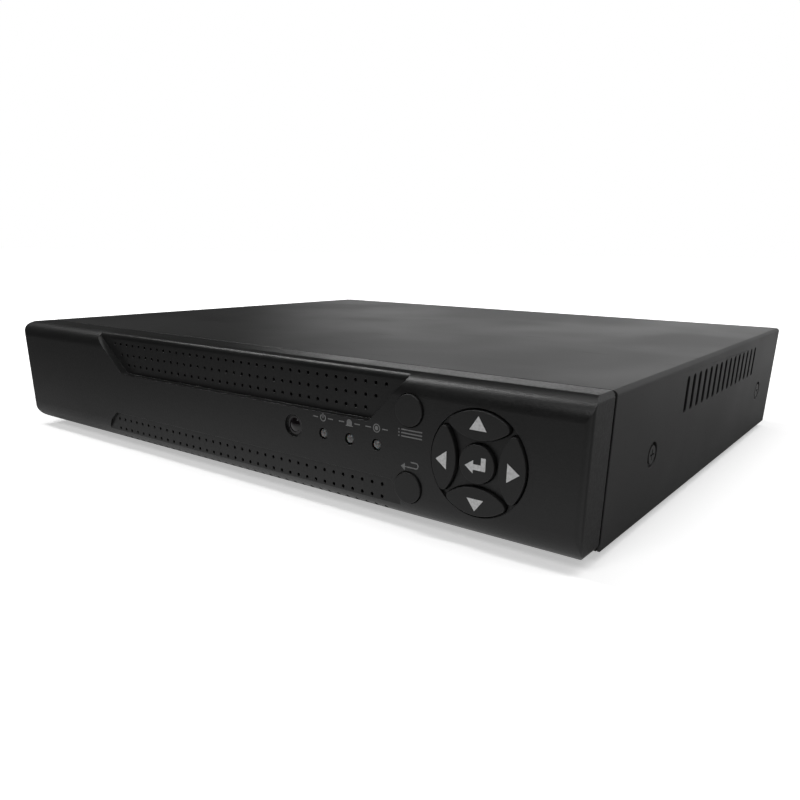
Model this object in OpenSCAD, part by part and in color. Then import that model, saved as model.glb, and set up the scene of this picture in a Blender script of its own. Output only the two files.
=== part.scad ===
// Compact digital video recorder: steel case, moulded front bezel with a keypad,
// one 3.5 inch drive, a main board with rear sockets and a rear fan.
// X runs to the right seen from the front, Y to the back and Z up.
// The origin is the middle of the footprint, on the surface that the feet stand on.

/* [Case] */
// Width of the steel case and of the bezel
case_w = 300; // [298:1:304]
// Height of the steel case without its feet
case_h = 49.2; // [49:0.1:50]
// Depth of the steel case, from the bezel seam to the back
case_d = 230.5; // [230:0.5:236]
// Thickness of the steel sheet
sheet_t = 1; // [0.8:0.1:1]
// Height of the rubber feet
foot_h = 3; // [2:0.5:5]
// Diameter of the rubber feet
foot_d = 16; // [12:1:20]

/* [Bezel] */
// Depth of the bezel in front of the seam
bezel_d = 16; // [15.8:0.1:16.4]
// Wall thickness of the bezel
bezel_wall = 2.4; // [2.2:0.1:2.4]
// Radius of the bezel's upper front edge
top_r = 7; // [6:0.5:8]
// Radius of the bezel's lower front edge
low_r = 9.5; // [8:0.5:9.5]
// Depth of the upper grille recess
recess_d = 3; // [2.5:0.1:3.5]
// Radius of the recess's upper edge, where it runs into the top
recess_r = 3; // [2.5:0.5:4]
// Width of the chamfer round the recess
recess_chamfer = 1; // [0.6:0.1:1.2]
// Spacing of the grille holes both ways
grille_pitch = 4.37; // [4.2:0.01:4.6]
// Diameter of the grille holes
grille_hole_d = 1.3; // [1.2:0.1:2.0]
// Width of the gap between the bezel and the steel case
seam_gap = 0.8; // [0.6:0.1:1.2]

/* [Keys] */
// Radius of the sunk circle that holds the four arrow keys
pad_r = 17; // [16.8:0.1:17.2]
// How far the circle is sunk into the face
pad_depth = 0.9; // [0.5:0.1:1.2]
// Radius of the round key in the middle of the arrow keys
enter_r = 6.1; // [5.5:0.1:6.2]
// Radius of the menu and escape keys
round_key_r = 5.2; // [4.8:0.1:5.2]
// How far the keys stand out of the bezel
key_proud = 0.8; // [0.6:0.1:1.2]
// Free gap round each key
key_gap = 0.3; // [0.3:0.05:0.35]

/* [Vents] */
// Number of slots on each side of the cover
vent_count = 15; // [8:1:15]
// Spacing of the side slots
vent_pitch = 7.6; // [7:0.1:7.6]
// Width of a side slot
vent_w = 3; // [2:0.2:3.4]
// Height of a side slot
vent_h = 13.3; // [10:0.1:14]

/* [Sockets] */
// Radius of a video socket's barrel
video_r = 4.8; // [4.7:0.05:4.85]
// How far the video sockets stand out of the rear wall
video_out = 11.5; // [10:0.5:13]
// Number of video sockets
video_count = 4; // [2:1:4]
// Spacing of the video sockets
video_pitch = 16; // [15:0.5:16]

/* [Fan] */
// Side of the square fan frame
fan_size = 40; // [40:1:40]
// Depth of the fan frame
fan_depth = 10; // [10:0.5:12]
// Number of fan blades
fan_blades = 7; // [5:1:9]

/* [Hidden] */
$fn = 48;
eps = 0.01;

// Places along Y: the front of the keys and the tips of the video sockets bound the object
total_d = key_proud + bezel_d + case_d + video_out;
seam_y = -total_d / 2 + key_proud + bezel_d;

// Inside of the bezel, measured from the seam
face_y = -bezel_d;
inner_y = face_y + bezel_wall;
bezel_back_y = -seam_gap / 2;
cover_front_y = seam_gap / 2;
edge_r = 2;

// Key positions on the face: across and up from the bottom of the case
pad_x = 115.6;
pad_z = 25.1;
round_key_x = 90;
menu_z = 37.9;
esc_z = 12.3;

// Key parts: flanges behind the face hold the keys in, stems press the switches
flange_front_y = inner_y + 0.6;
flange_t = 1.1;
pad_ring = 0.6;
petal_flange_r = pad_r + pad_ring;
petal_r = pad_r - pad_ring;
petal_offset = 23.5;
petal_inner = 7.4;
petal_tip_r = 1.6;
side_rebate = 0.9;
bezel_corner_r = 3.5;
bezel_top_corner_r = 2;
corner_near = 0.12;
corner_far = 0.55;
round_key_ear = 0.75;
round_key_ear_h = 4.6;
stem_r = 1.6;
petal_stem_at = 11.8;

// Key board and switches, measured from the seam
key_board_x = [30, 138.5];
key_board_z = [5, 45];
key_board_y = -5.2;
pcb_t = 1.6;
switch_size = 6;
switch_h = 3.5;
plunger_r = 1.7;
plunger_out = 0.8;
plunger_len = 1.9;
plunger_fit = 0.1;

// Lamps and infrared window
led_z = 24.5;
led_xs = [53, 65, 76.8];
led_r = 1.95;
ir_x = 38.3;
ir_z = 25.1;
ir_ring_r = 4.2;
ir_bore_r = 3.5;

// Grille recesses and holes
grille_x0 = -0.2;
upper_left = [-67.3, 32];
upper_right = [73.3, 32];
upper_slope = 0.84;
right_slope = 0.79;
upper_rows = [for (i = [0 : 2]) 44.4 - i * grille_pitch];
recess_wall = 1.2;
lower_top = 13.8;
lower_depth = 1;
lower_left = -74.9;
lower_right = 82.5;
lower_rows = [for (i = [0 : 2]) 10.9 - i * grille_pitch];

// Steel case
cover_bend = 1.6;
tray_gap = 0.2;
tray_lip = 14;
front_wall_y = cover_front_y;
side_screw_at = [[39.8, 22], [198.6, 21]];
rear_screw_xs = [-125, 0, 125];
rear_screw_z = 45.6;
flange_h = 7;
dimple_r = 5;
dimple_depth = 1.4;
vent_first_y = 71;
vent_low_z = 31;
foot_xs = [-122, 122];
foot_ys = [28, 204];

// Main board: lies at the right and reaches the rear wall
board_x = [-48, 142];
board_y = [118, case_d - 4];
board_z = 7;
board_top = board_z + pcb_t;
board_holes = [[-43, 123], [137, 123], [137, 190], [-43, 190]];

// Rear sockets on the main board, across the back
video_x0 = -38;
video_z = 20;
rear_y = case_d - sheet_t;

// Drive: standard 3.5 inch size, long side along X
drive_l = 147;
drive_w = 101.6;
drive_h = 26.1;
drive_x = -141;
drive_y = 10;
drive_z = sheet_t + 0.6;
drive_board_h = 2.2;
drive_holes = [[41.3, 3.2], [117.5, 3.2], [41.3, 98.4], [117.5, 98.4]];

// Fan behind the rear wall's left part
fan_x = -95;
fan_z = 22.4;
fan_bore_r = 19;
rotor_gap = 0.5;

// Screw posts inside the bezel, for the key board and for the steel front wall
key_post_at = [[34, 10], [34, 40], [134.5, 8.8], [134.5, 41.4]];
case_post_at = [[-141, 11], [-141, 38], [143.5, 25], [0, 25]];

// Places of the switches behind the keys: up, down, left, right, enter, menu and escape
switch_at = [
    [pad_x, pad_z + petal_stem_at],
    [pad_x, pad_z - petal_stem_at],
    [pad_x - petal_stem_at, pad_z],
    [pad_x + petal_stem_at, pad_z],
    [pad_x, pad_z],
    [round_key_x, menu_z],
    [round_key_x, esc_z]
];
cpu_at = [60, 140];
cpu_size = 23;
sink_size = 32;
capacitor_at = [[122, 170], [131, 170], [122, 180], [54, 127], [63, 127], [88, 127]];
cell_at = [-10, 137];

// Board-mounted headers: drive data, drive power, front cable and fan
data_header = [12, 122];
power_header = [32, 122];
front_header = [100, 122];
fan_header = [-44, 152];
audio_x = 27;
audio_z = 16;
audio_pitch = 14;
audio_r = 4.1;
audio_root = 0.8;
audio_len = 7.2;
vga_x = 50;
vga_z = board_top + 6.5;
hdmi_x = 76;
hdmi_z = board_top + 2.8;
lan_x = 94;
usb_x = 113;
power_x = 131;
power_z = board_top + 6;

// Fan: square frame with a round bore, spokes that hold the bearing, and the rotor
fan_back_y = rear_y - 0.1;
fan_front_y = fan_back_y - fan_depth;

// Everything is drawn from the seam and the bottom of the case
module placed() {
    translate([0, seam_y, foot_h]) children();
}

// A profile drawn in Y and Z, run along X
module along_x(x0, length) {
    translate([x0, 0, 0]) rotate([90, 0, 90]) linear_extrude(length) children();
}

// An outline drawn in X and Z, run along Y
module along_y(y0, length) {
    translate([0, y0 + length, 0]) rotate([90, 0, 0]) linear_extrude(length) children();
}

// A round bar along Y
module bar_y(x, y0, z, r, length) {
    translate([x, y0, z]) rotate([-90, 0, 0]) cylinder(r = r, h = length);
}

// A round bar along X
module bar_x(x0, y, z, r, length) {
    translate([x0, y, z]) rotate([0, 90, 0]) cylinder(r = r, h = length);
}

// A box given by its two corners
module box(x, y, z) {
    translate([x[0], y[0], z[0]]) cube([x[1] - x[0], y[1] - y[0], z[1] - z[0]]);
}

// A quarter disc filling one corner of a profile
module corner(x, y, r, sx, sy) {
    intersection() {
        translate([x, y]) circle(r);
        translate([sx < 0 ? x - r : x, sy < 0 ? y - r : y]) square(r);
    }
}

// Bezel cross section in Y and Z, shrunk inwards by the given amount
module bezel_profile(inset) {
    top = case_h - inset;
    front = face_y + inset;
    tr = top_r - inset;
    lr = low_r - inset;
    back = inset > 0 ? 1 : bezel_back_y;
    translate([front, low_r]) square([back - front, case_h - top_r - low_r]);
    translate([front + lr, inset]) square([back - front - lr, low_r - inset]);
    translate([front + tr, case_h - top_r]) square([back - front - tr, top_r - inset]);
    corner(front + lr, low_r, lr, -1, -1);
    corner(front + tr, case_h - top_r, tr, -1, 1);
}

// Rectangle with two rounded corners on its low Y side
module front_rounded(w, d, r) {
    translate([-w / 2, r]) square([w, d - r]);
    translate([-w / 2 + r, 0]) square([w - 2 * r, r]);
    corner(-w / 2 + r, r, r, -1, -1);
    corner(w / 2 - r, r, r, 1, -1);
}

// Outline of the upper grille recess in X and Z: a wide trapezoid with rounded lower corners
module upper_outline(grow) {
    top = case_h + 2;
    rise = top - upper_left[1];
    offset(r = 3 + grow) offset(delta = -3) polygon([
        [upper_left[0], upper_left[1]],
        [upper_right[0], upper_right[1]],
        [upper_right[0] + rise / upper_slope * right_slope, top],
        [upper_left[0] - rise / upper_slope, top]
    ]);
}

// The upper recess: a pocket that runs out through the bezel's rounded top edge. Its floor
// turns into the top over an edge of its own, and a chamfer runs round its rim.
module upper_recess() {
    floor_y = face_y + recess_d;
    difference() {
        along_y(face_y - 1, recess_d + 1 + recess_r) upper_outline(0);
        along_x(-case_w / 2, case_w) {
            translate([floor_y, 0]) square([recess_r + 1, case_h - recess_r]);
            translate([floor_y + recess_r, 0]) square([1, case_h]);
            corner(floor_y + recess_r, case_h - recess_r, recess_r, -1, 1);
        }
    }
    hull() {
        along_y(face_y - eps, eps) upper_outline(recess_chamfer);
        along_y(face_y + recess_chamfer, eps) upper_outline(0);
    }
}

// Outline of the lower grille recess in X and Z
module lower_outline() {
    polygon([
        [lower_left - 12, -1],
        [lower_left - 4.7, lower_top - 3.8],
        [lower_left, lower_top],
        [lower_right, lower_top],
        [lower_right + 4, lower_top - 4],
        [lower_right + 4, -1]
    ]);
}

// One row of grille holes through the face
module grille_row(x_low, x_high, z) {
    first = ceil((x_low - grille_x0) / grille_pitch);
    last = floor((x_high - grille_x0) / grille_pitch);
    for (i = [first : last])
        bar_y(grille_x0 + i * grille_pitch, face_y - 1, z, grille_hole_d / 2, low_r);
}

module bezel_posts() {
    for (p = key_post_at)
        bar_y(p[0], inner_y - 0.5, p[1], 2.8, key_board_y - inner_y + 0.5);
    for (p = case_post_at)
        bar_y(p[0], inner_y - 0.5, p[1], 3, front_wall_y - inner_y + 0.5);
}

// Step along both rear side edges, which makes the seam look wider at the sides than on top
module side_rebates() {
    half = case_w / 2;
    for (s = [-1, 1])
        box([s > 0 ? half - side_rebate : -half - 1, s > 0 ? half + 1 : -half + side_rebate],
            [bezel_back_y - side_rebate, bezel_back_y + 1], [-1, case_h - 1]);
}

// What is cut from a corner of the bezel, seen along Y: it leaves a corner of three short flats.
// sx is 1 at the right and -1 at the left, sz is 1 at the top and -1 at the bottom.
module corner_cut(sx, sz) {
    r = sz > 0 ? bezel_top_corner_r : bezel_corner_r;
    near = r * corner_near;
    far = r * corner_far;
    out = 3;
    skim = 0.3;
    translate([sx * case_w / 2, sz > 0 ? case_h : 0]) scale([sx, sz]) polygon([
        [-r, skim],
        [-far, -near],
        [-near, -far],
        [skim, -r],
        [out, -r],
        [out, out],
        [-r, out]
    ]);
}

// Sunk circle of the keypad, with an opening for each arrow key and one for the middle key
module pad_cuts() {
    through = bezel_wall + 2;
    bar_y(pad_x, face_y - 1, pad_z, pad_r, pad_depth + 1);
    bar_y(pad_x, face_y - 1, pad_z, enter_r + key_gap, through);
    for (a = [0 : 90 : 270])
        translate([pad_x, 0, pad_z]) rotate([0, a, 0])
            along_y(face_y - 1, through) petal_outline(key_gap);
}

module front_bezel() {
    color([0.10, 0.10, 0.105]) placed() difference() {
        union() {
            difference() {
                intersection() {
                    along_x(-case_w / 2, case_w) bezel_profile(0);
                    translate([0, face_y, -1])
                        linear_extrude(case_h + 2) front_rounded(case_w, bezel_d + 1, edge_r);
                }
                along_x(-case_w / 2 + bezel_wall, case_w - 2 * bezel_wall)
                    bezel_profile(bezel_wall);
                for (sx = [-1, 1], sz = [-1, 1])
                    along_y(face_y - 1, bezel_d + 2) corner_cut(sx, sz);
            }
            intersection() {
                along_x(-case_w / 2 + 1, case_w - 2) bezel_profile(1);
                along_y(face_y, recess_d + 1.8) upper_outline(recess_wall);
            }
            bezel_posts();
        }
        side_rebates();
        upper_recess();
        along_y(face_y - 1, lower_depth + 1) lower_outline();
        for (z = upper_rows)
            grille_row(upper_left[0] - (z - upper_left[1]) / upper_slope + 3.5,
                       upper_right[0] + (z - upper_left[1]) / upper_slope * right_slope - 3, z);
        for (z = lower_rows)
            grille_row(lower_left, lower_right, z);
        pad_cuts();
        for (z = [menu_z, esc_z])
            bar_y(round_key_x, face_y - 1, z, round_key_r + key_gap, bezel_wall + 2);
        bar_y(round_key_x, inner_y, menu_z, round_key_r + round_key_ear + 0.5, 4);
        for (x = led_xs)
            bar_y(x, face_y - 1, led_z, led_r + 0.08, bezel_wall + 2);
        bar_y(ir_x, face_y - 1, ir_z, ir_bore_r, bezel_wall + 2);
        bar_y(ir_x, face_y - 1, ir_z, ir_ring_r, 2);
        for (p = key_post_at)
            bar_y(p[0], key_board_y - 7, p[1], 1.1, 8);
        for (p = case_post_at)
            bar_y(p[0], front_wall_y - 9, p[1], 1.3, 10);
    }
}

// Smoked window with a low dome, held from behind by its flange
module ir_window() {
    dome_r = 5;
    color([0.05, 0.03, 0.05]) placed() union() {
        bar_y(ir_x, face_y + 0.9, ir_z, ir_bore_r, bezel_wall - 0.9);
        bar_y(ir_x, inner_y, ir_z, ir_bore_r + 1.2, 1);
        intersection() {
            translate([ir_x, face_y + 0.1 + dome_r, ir_z]) sphere(dome_r);
            bar_y(ir_x, face_y, ir_z, ir_bore_r - 0.9, 1.2);
        }
    }
}

// Lamp with a domed tip: it stands on the key board and reaches through the face
module led(x) {
    color([0.62, 0.62, 0.60]) placed() union() {
        translate([x, face_y + led_r - 0.3, led_z]) sphere(led_r);
        bar_y(x, face_y + led_r - 0.3, led_z, led_r, key_board_y - face_y - led_r + 0.3);
        bar_y(x, key_board_y - 1, led_z, led_r + 0.5, 1);
    }
}
module power_led() { led(led_xs[0]); }
module alarm_led() { led(led_xs[1]); }
module record_led() { led(led_xs[2]); }

// Round key with two holding ears behind the face and a stem to its switch
module round_key(x, z, r) {
    ear_r = r + round_key_ear;
    color([0.11, 0.11, 0.115]) placed() union() {
        bar_y(x, face_y - key_proud, z, r, flange_front_y - face_y + key_proud + flange_t);
        intersection() {
            bar_y(x, flange_front_y, z, ear_r, flange_t);
            box([x - ear_r, x + ear_r], [flange_front_y, flange_front_y + flange_t],
                [z - round_key_ear_h / 2, z + round_key_ear_h / 2]);
        }
        bar_y(x, flange_front_y, z, stem_r, key_board_y - switch_h - plunger_out - flange_front_y);
    }
}
module menu_button() { round_key(round_key_x, menu_z, round_key_r); }
module esc_button() { round_key(round_key_x, esc_z, round_key_r); }
module enter_button() { round_key(pad_x, pad_z, enter_r); }

// Lens-shaped outline of an arrow key above the middle, with blunt tips, grown by a gap
module petal_outline(grow) {
    offset(r = petal_tip_r + grow) offset(delta = -petal_tip_r) intersection() {
        circle(petal_r, $fn = 96);
        translate([0, petal_offset]) circle(petal_offset - petal_inner, $fn = 96);
    }
}

// Arrow key: the cap, a rim that sits behind the edge of the opening and a stem
module arrow_key(angle) {
    tip_y = key_board_y - switch_h - plunger_out;
    color([0.11, 0.11, 0.115]) placed() translate([pad_x, 0, pad_z]) rotate([0, -angle, 0]) union() {
        along_y(face_y - key_proud, flange_front_y - face_y + key_proud + flange_t) petal_outline(0);
        along_y(flange_front_y, flange_t) intersection() {
            difference() {
                circle(petal_flange_r, $fn = 96);
                circle(petal_r - 3, $fn = 96);
            }
            polygon([[0, 0], [14, 22], [-14, 22]]);
        }
        bar_y(0, flange_front_y, petal_stem_at, stem_r, tip_y - flange_front_y);
    }
}
module up_button() { arrow_key(0); }
module right_button() { arrow_key(-90); }
module down_button() { arrow_key(180); }
module left_button() { arrow_key(90); }

// Plunger of one switch: it moves with its key
module plunger(i) {
    color([0.12, 0.12, 0.12]) placed()
        bar_y(switch_at[i][0], key_board_y - switch_h - plunger_out, switch_at[i][1],
              plunger_r, plunger_len);
}
module up_plunger() { plunger(0); }
module down_plunger() { plunger(1); }
module left_plunger() { plunger(2); }
module right_plunger() { plunger(3); }
module enter_plunger() { plunger(4); }
module menu_plunger() { plunger(5); }
module esc_plunger() { plunger(6); }

module key_switches() {
    half = switch_size / 2;
    color([0.55, 0.55, 0.56]) placed() for (p = switch_at) difference() {
        box([p[0] - half, p[0] + half], [key_board_y - switch_h, key_board_y],
            [p[1] - half, p[1] + half]);
        bar_y(p[0], key_board_y - switch_h - 1, p[1], plunger_r + plunger_fit, 3);
    }
}

module key_board() {
    color([0.05, 0.25, 0.12]) placed() difference() {
        box(key_board_x, [key_board_y, key_board_y + pcb_t], key_board_z);
        for (p = key_post_at)
            bar_y(p[0], key_board_y - 1, p[1], 1.4, pcb_t + 2);
    }
}

// Infrared receiver: a square block with a lens, standing behind the window
module ir_receiver() {
    color([0.08, 0.08, 0.09]) placed() union() {
        box([ir_x - 3, ir_x + 3], [key_board_y - 4, key_board_y], [ir_z - 3.5, ir_z + 3.5]);
        bar_y(ir_x, key_board_y - 6, ir_z, 2.5, 2.5);
    }
}

// Pan head screw along +Y or -Y: p is the seat of the head and dir the way the shank points
module screw_y(p, dir, head_r, head_h, shank_r, shank_l) {
    y_head = dir > 0 ? p[1] - head_h : p[1];
    y_shank = dir > 0 ? p[1] - head_h / 2 : p[1] - shank_l;
    y_slot = dir > 0 ? p[1] - head_h - eps : p[1] + head_h / 2;
    difference() {
        union() {
            bar_y(p[0], y_head, p[2], head_r, head_h);
            bar_y(p[0], y_shank, p[2], shank_r, shank_l + head_h / 2);
        }
        for (a = [0, 90])
            translate([p[0], y_slot, p[2]]) rotate([0, a, 0])
                translate([-head_r * 0.6, 0, -0.3]) cube([head_r * 1.2, head_h / 2 + eps, 0.6]);
    }
}

// Pan head screw along Z: p is the seat of the head, dir is the way the shank points
module screw_z(p, dir, head_r, head_h, shank_r, shank_l) {
    z_head = dir > 0 ? p[2] - head_h : p[2];
    z_shank = dir > 0 ? p[2] - head_h / 2 : p[2] - shank_l;
    z_slot = dir > 0 ? p[2] - head_h - eps : p[2] + head_h / 2;
    difference() {
        union() {
            translate([p[0], p[1], z_head]) cylinder(r = head_r, h = head_h);
            translate([p[0], p[1], z_shank]) cylinder(r = shank_r, h = shank_l + head_h / 2);
        }
        for (a = [0, 90])
            translate([p[0], p[1], z_slot]) rotate([0, 0, a])
                translate([-head_r * 0.6, -0.3, 0]) cube([head_r * 1.2, 0.6, head_h / 2 + eps]);
    }
}

module key_board_screws() {
    color([0.6, 0.6, 0.62]) placed() for (p = key_post_at)
        screw_y([p[0], key_board_y + pcb_t, p[1]], -1, 2.2, 1.4, 1.1, 7);
}

module bezel_screws() {
    color([0.6, 0.6, 0.62]) placed() for (p = case_post_at)
        screw_y([p[0], front_wall_y + sheet_t, p[1]], -1, 2.8, 1.8, 1.3, 9);
}

// Lower half of the case: floor, front wall, rear wall and low side flanges in one sheet
module base_tray() {
    half = case_w / 2 - sheet_t - tray_gap;
    top = case_h - sheet_t - tray_gap;
    cup_r = dimple_r + 0.7;
    cup_x = case_w / 2 - 2 * sheet_t - dimple_depth;
    color([0.13, 0.13, 0.135]) placed() difference() {
        union() {
            box([-half, half], [front_wall_y, case_d], [0, sheet_t]);
            box([-half, half], [front_wall_y, front_wall_y + sheet_t], [0, top]);
            box([-half, half], [rear_y, case_d], [0, top]);
            for (s = [-1, 1])
                translate([s * (half - sheet_t / 2), 0, 0])
                    box([-sheet_t / 2, sheet_t / 2], [front_wall_y, case_d], [0, tray_lip]);
            for (s = [-1, 1], p = side_screw_at)
                translate([s * (half - sheet_t / 2), 0, 0])
                    box([-sheet_t / 2, sheet_t / 2], [p[0] - 8, p[0] + 8], [0, p[1] + 8]);
            for (s = [-1, 1], p = side_screw_at)
                bar_x(s > 0 ? cup_x : -half, p[0], p[1], cup_r + sheet_t, half - cup_x);
        }
        for (s = [-1, 1], p = side_screw_at)
            bar_x(s > 0 ? cup_x + sheet_t : -half - 1, p[0], p[1], cup_r, half + 1 - cup_x - sheet_t);
        front_wall_cuts();
        rear_wall_cuts();
        floor_cuts();
        for (s = [-1, 1], p = side_screw_at)
            bar_x(s * half - 3, p[0], p[1], 1.5, 6);
    }
}

// Openings of the front wall: air behind the grilles, the cable and the bezel screws
module front_wall_cuts() {
    for (x = [-132, -66, 6, 72])
        box([x, x + 60], [0, 3], [14, 34]);
    for (p = case_post_at)
        bar_y(p[0], 0, p[1], 1.5, 3);
    box([20, 120], [0, 3], [36, 42]);
}

// Openings of the rear wall: sockets, fan and cover screws
module rear_wall_cuts() {
    start = rear_y - 1;
    through = sheet_t + 2;
    for (i = [0 : video_count - 1])
        bar_y(video_x0 + i * video_pitch, start, video_z, video_r + 0.3, through);
    for (i = [0 : 1])
        bar_y(audio_x, start, audio_z + i * audio_pitch, audio_r + 0.3, through);
    box([vga_x - 8.6, vga_x + 8.6], [start, start + through], [vga_z - 4.3, vga_z + 4.3]);
    for (s = [-1, 1])
        bar_y(vga_x + s * 12.5, start, vga_z, 2.2, through);
    box([hdmi_x - 7.8, hdmi_x + 7.8], [start, start + through], [hdmi_z - 3.1, hdmi_z + 3.1]);
    box([lan_x - 8.3, lan_x + 8.3], [start, start + through], [board_top, board_top + 14]);
    box([usb_x - 7.5, usb_x + 7.5], [start, start + through], [board_top, board_top + 16.2]);
    bar_y(power_x, start, power_z, 4.3, through);
    bar_y(fan_x, start, fan_z, 2.5, through);
    fan_guard_slots(start, through);
    for (sx = [-1, 1], sz = [-1, 1])
        bar_y(fan_x + sx * 16, start, fan_z + sz * 16, 1.8, through);
    for (x = rear_screw_xs)
        bar_y(x, start, rear_screw_z, 1.5, through);
}

// Ring-shaped slots in front of the fan, broken by four spokes
module fan_guard_slots(start, through) {
    for (r = [4.5, 8.5, 12.5, 16.5])
        translate([fan_x, start, fan_z]) rotate([-90, 45, 0]) difference() {
            cylinder(r = r + 1.3, h = through);
            translate([0, 0, -1]) cylinder(r = r - 1.2, h = through + 2);
            for (a = [0, 90])
                rotate([0, 0, a]) translate([-30, -1, -1]) cube([60, 2, through + 2]);
        }
}

// Openings of the floor: feet, drive screws and air slots under the drive
module floor_cuts() {
    for (x = foot_xs, y = foot_ys)
        translate([x, y, -1]) cylinder(r = 2.5, h = sheet_t + 2);
    for (p = drive_holes)
        translate([drive_x + p[0], drive_y + p[1], -1]) cylinder(r = 1.9, h = sheet_t + 2);
    for (i = [0 : 7])
        box([-60 + i * 7, -57 + i * 7], [140, 170], [-1, sheet_t + 1]);
}

// Upper half of the case: top, both sides and a rear flange, bent from one sheet
module top_cover() {
    color([0.14, 0.14, 0.145]) placed() union() {
        difference() {
            union() {
                along_y(cover_front_y, case_d - cover_front_y) cover_outline();
                for (s = [-1, 1], p = side_screw_at)
                    dimple_back(s, p);
            }
            for (s = [-1, 1], p = side_screw_at)
                dimple_cut(s, p);
            for (s = [-1, 1], i = [0 : vent_count - 1])
                translate([s * case_w / 2, vent_first_y + i * vent_pitch, vent_low_z])
                    vent_slot();
        }
        cover_flange();
    }
}

// Folded outline of the cover in X and Z
module cover_outline() {
    difference() {
        cover_shape(case_w / 2, case_h, cover_bend);
        cover_shape(case_w / 2 - sheet_t, case_h - sheet_t, cover_bend - sheet_t);
    }
}
module cover_shape(half, top, r) {
    translate([-half, -eps]) square([2 * half, top - r + eps]);
    translate([-half + r, top - r - eps]) square([2 * half - 2 * r, r + eps]);
    corner(-half + r, top - r, r, -1, 1);
    corner(half - r, top - r, r, 1, 1);
}

// Slot with round ends through a side wall, standing upright
module vent_slot() {
    translate([-3, -vent_w / 2, vent_w / 2]) cube([6, vent_w, vent_h - vent_w]);
    for (z = [vent_w / 2, vent_h - vent_w / 2])
        translate([-3, 0, z]) rotate([0, 90, 0]) cylinder(r = vent_w / 2, h = 6);
}

// Pressed dimple round a side screw: the sheet is pushed in by dimple_depth
module dimple_back(s, p) {
    outer = case_w / 2;
    bar_x(s > 0 ? outer - sheet_t - dimple_depth + 0.4 : -outer + 0.4,
          p[0], p[1], dimple_r + 0.4, sheet_t + dimple_depth - 0.8);
}
module dimple_cut(s, p) {
    outer = case_w / 2;
    bar_x(s > 0 ? outer - dimple_depth + 0.4 : -outer - 1,
          p[0], p[1], dimple_r - 0.6, dimple_depth + 0.6);
    bar_x(s > 0 ? outer - 4 : -outer - 1, p[0], p[1], 1.8, 5);
}

// Strip along the rear edge of the top, folded down over the rear wall
module cover_flange() {
    half = case_w / 2 - 3;
    difference() {
        box([-half, half], [case_d, case_d + sheet_t], [case_h - flange_h, case_h]);
        for (x = rear_screw_xs)
            bar_y(x, case_d - 1, rear_screw_z, 1.8, sheet_t + 2);
    }
}

module cover_side_screws() {
    seat = case_w / 2 - dimple_depth + 0.4;
    color([0.05, 0.05, 0.05]) placed() for (s = [-1, 1], p = side_screw_at)
        translate([0, p[0], p[1]]) rotate([0, 0, s > 0 ? 90 : -90])
            screw_y([0, -seat, 0], 1, 3.2, 0.9, 1.5, 5);
}

module cover_rear_screws() {
    color([0.05, 0.05, 0.05]) placed() for (x = rear_screw_xs)
        screw_y([x, case_d + sheet_t, rear_screw_z], -1, 3, 1.8, 1.5, 6);
}

// Four rubber feet, each with a plug through the floor
module rubber_feet() {
    color([0.07, 0.07, 0.07]) placed() for (x = foot_xs, y = foot_ys) translate([x, y, 0]) union() {
        difference() {
            translate([0, 0, -foot_h]) cylinder(d1 = foot_d - 1.5, d2 = foot_d, h = foot_h);
            translate([0, 0, -foot_h - 1]) cylinder(r = 2.5, h = 2.2);
        }
        translate([0, 0, -0.5]) cylinder(r = 2.4, h = sheet_t + 0.5);
        translate([0, 0, sheet_t]) cylinder(r = 3.2, h = 1);
    }
}

// Main board with its screw holes
module main_board() {
    color([0.04, 0.22, 0.11]) placed() difference() {
        box(board_x, board_y, [board_z, board_top]);
        for (p = board_holes)
            translate([p[0], p[1], board_z - 1]) cylinder(r = 1.6, h = pcb_t + 2);
    }
}

module board_standoffs() {
    color([0.75, 0.68, 0.4]) placed() for (p = board_holes) difference() {
        translate([p[0], p[1], sheet_t]) cylinder(r = 3, h = board_z - sheet_t);
        translate([p[0], p[1], sheet_t + 1]) cylinder(r = 1.25, h = board_z);
    }
}

module board_screws() {
    color([0.7, 0.7, 0.72]) placed() for (p = board_holes)
        screw_z([p[0], p[1], board_top], -1, 2.8, 1.8, 1.25, 5.5);
}

// A chip on the main board
module chip(x, y, w, d, h) {
    box([x, x + w], [y, y + d], [board_top, board_top + h]);
}
module main_processor() {
    color([0.1, 0.1, 0.1]) placed() chip(cpu_at[0], cpu_at[1], cpu_size, cpu_size, 1.6);
}

// Finned block on the processor
module heat_sink() {
    fins = 9;
    base = board_top + 1.6;
    x0 = cpu_at[0] + (cpu_size - sink_size) / 2;
    y0 = cpu_at[1] + (cpu_size - sink_size) / 2;
    pitch = (sink_size - 1.2) / (fins - 1);
    color([0.2, 0.2, 0.22]) placed() union() {
        box([x0, x0 + sink_size], [y0, y0 + sink_size], [base, base + 2.5]);
        for (i = [0 : fins - 1])
            box([x0 + i * pitch, x0 + i * pitch + 1.2], [y0, y0 + sink_size], [base, base + 12]);
    }
}

module memory_chips() {
    color([0.1, 0.1, 0.1]) placed() {
        for (y = [138, 152]) chip(95, y, 13.5, 9, 1.1);
        chip(30, 160, 8, 6, 1.7);
    }
}

module video_chips() {
    color([0.1, 0.1, 0.1]) placed() for (x = [0, 24]) chip(x, 178, 14, 14, 1.5);
}

module capacitors() {
    color([0.15, 0.17, 0.3]) placed() for (p = capacitor_at)
        translate([p[0], p[1], board_top]) cylinder(r = 3.15, h = 8);
}

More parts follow.
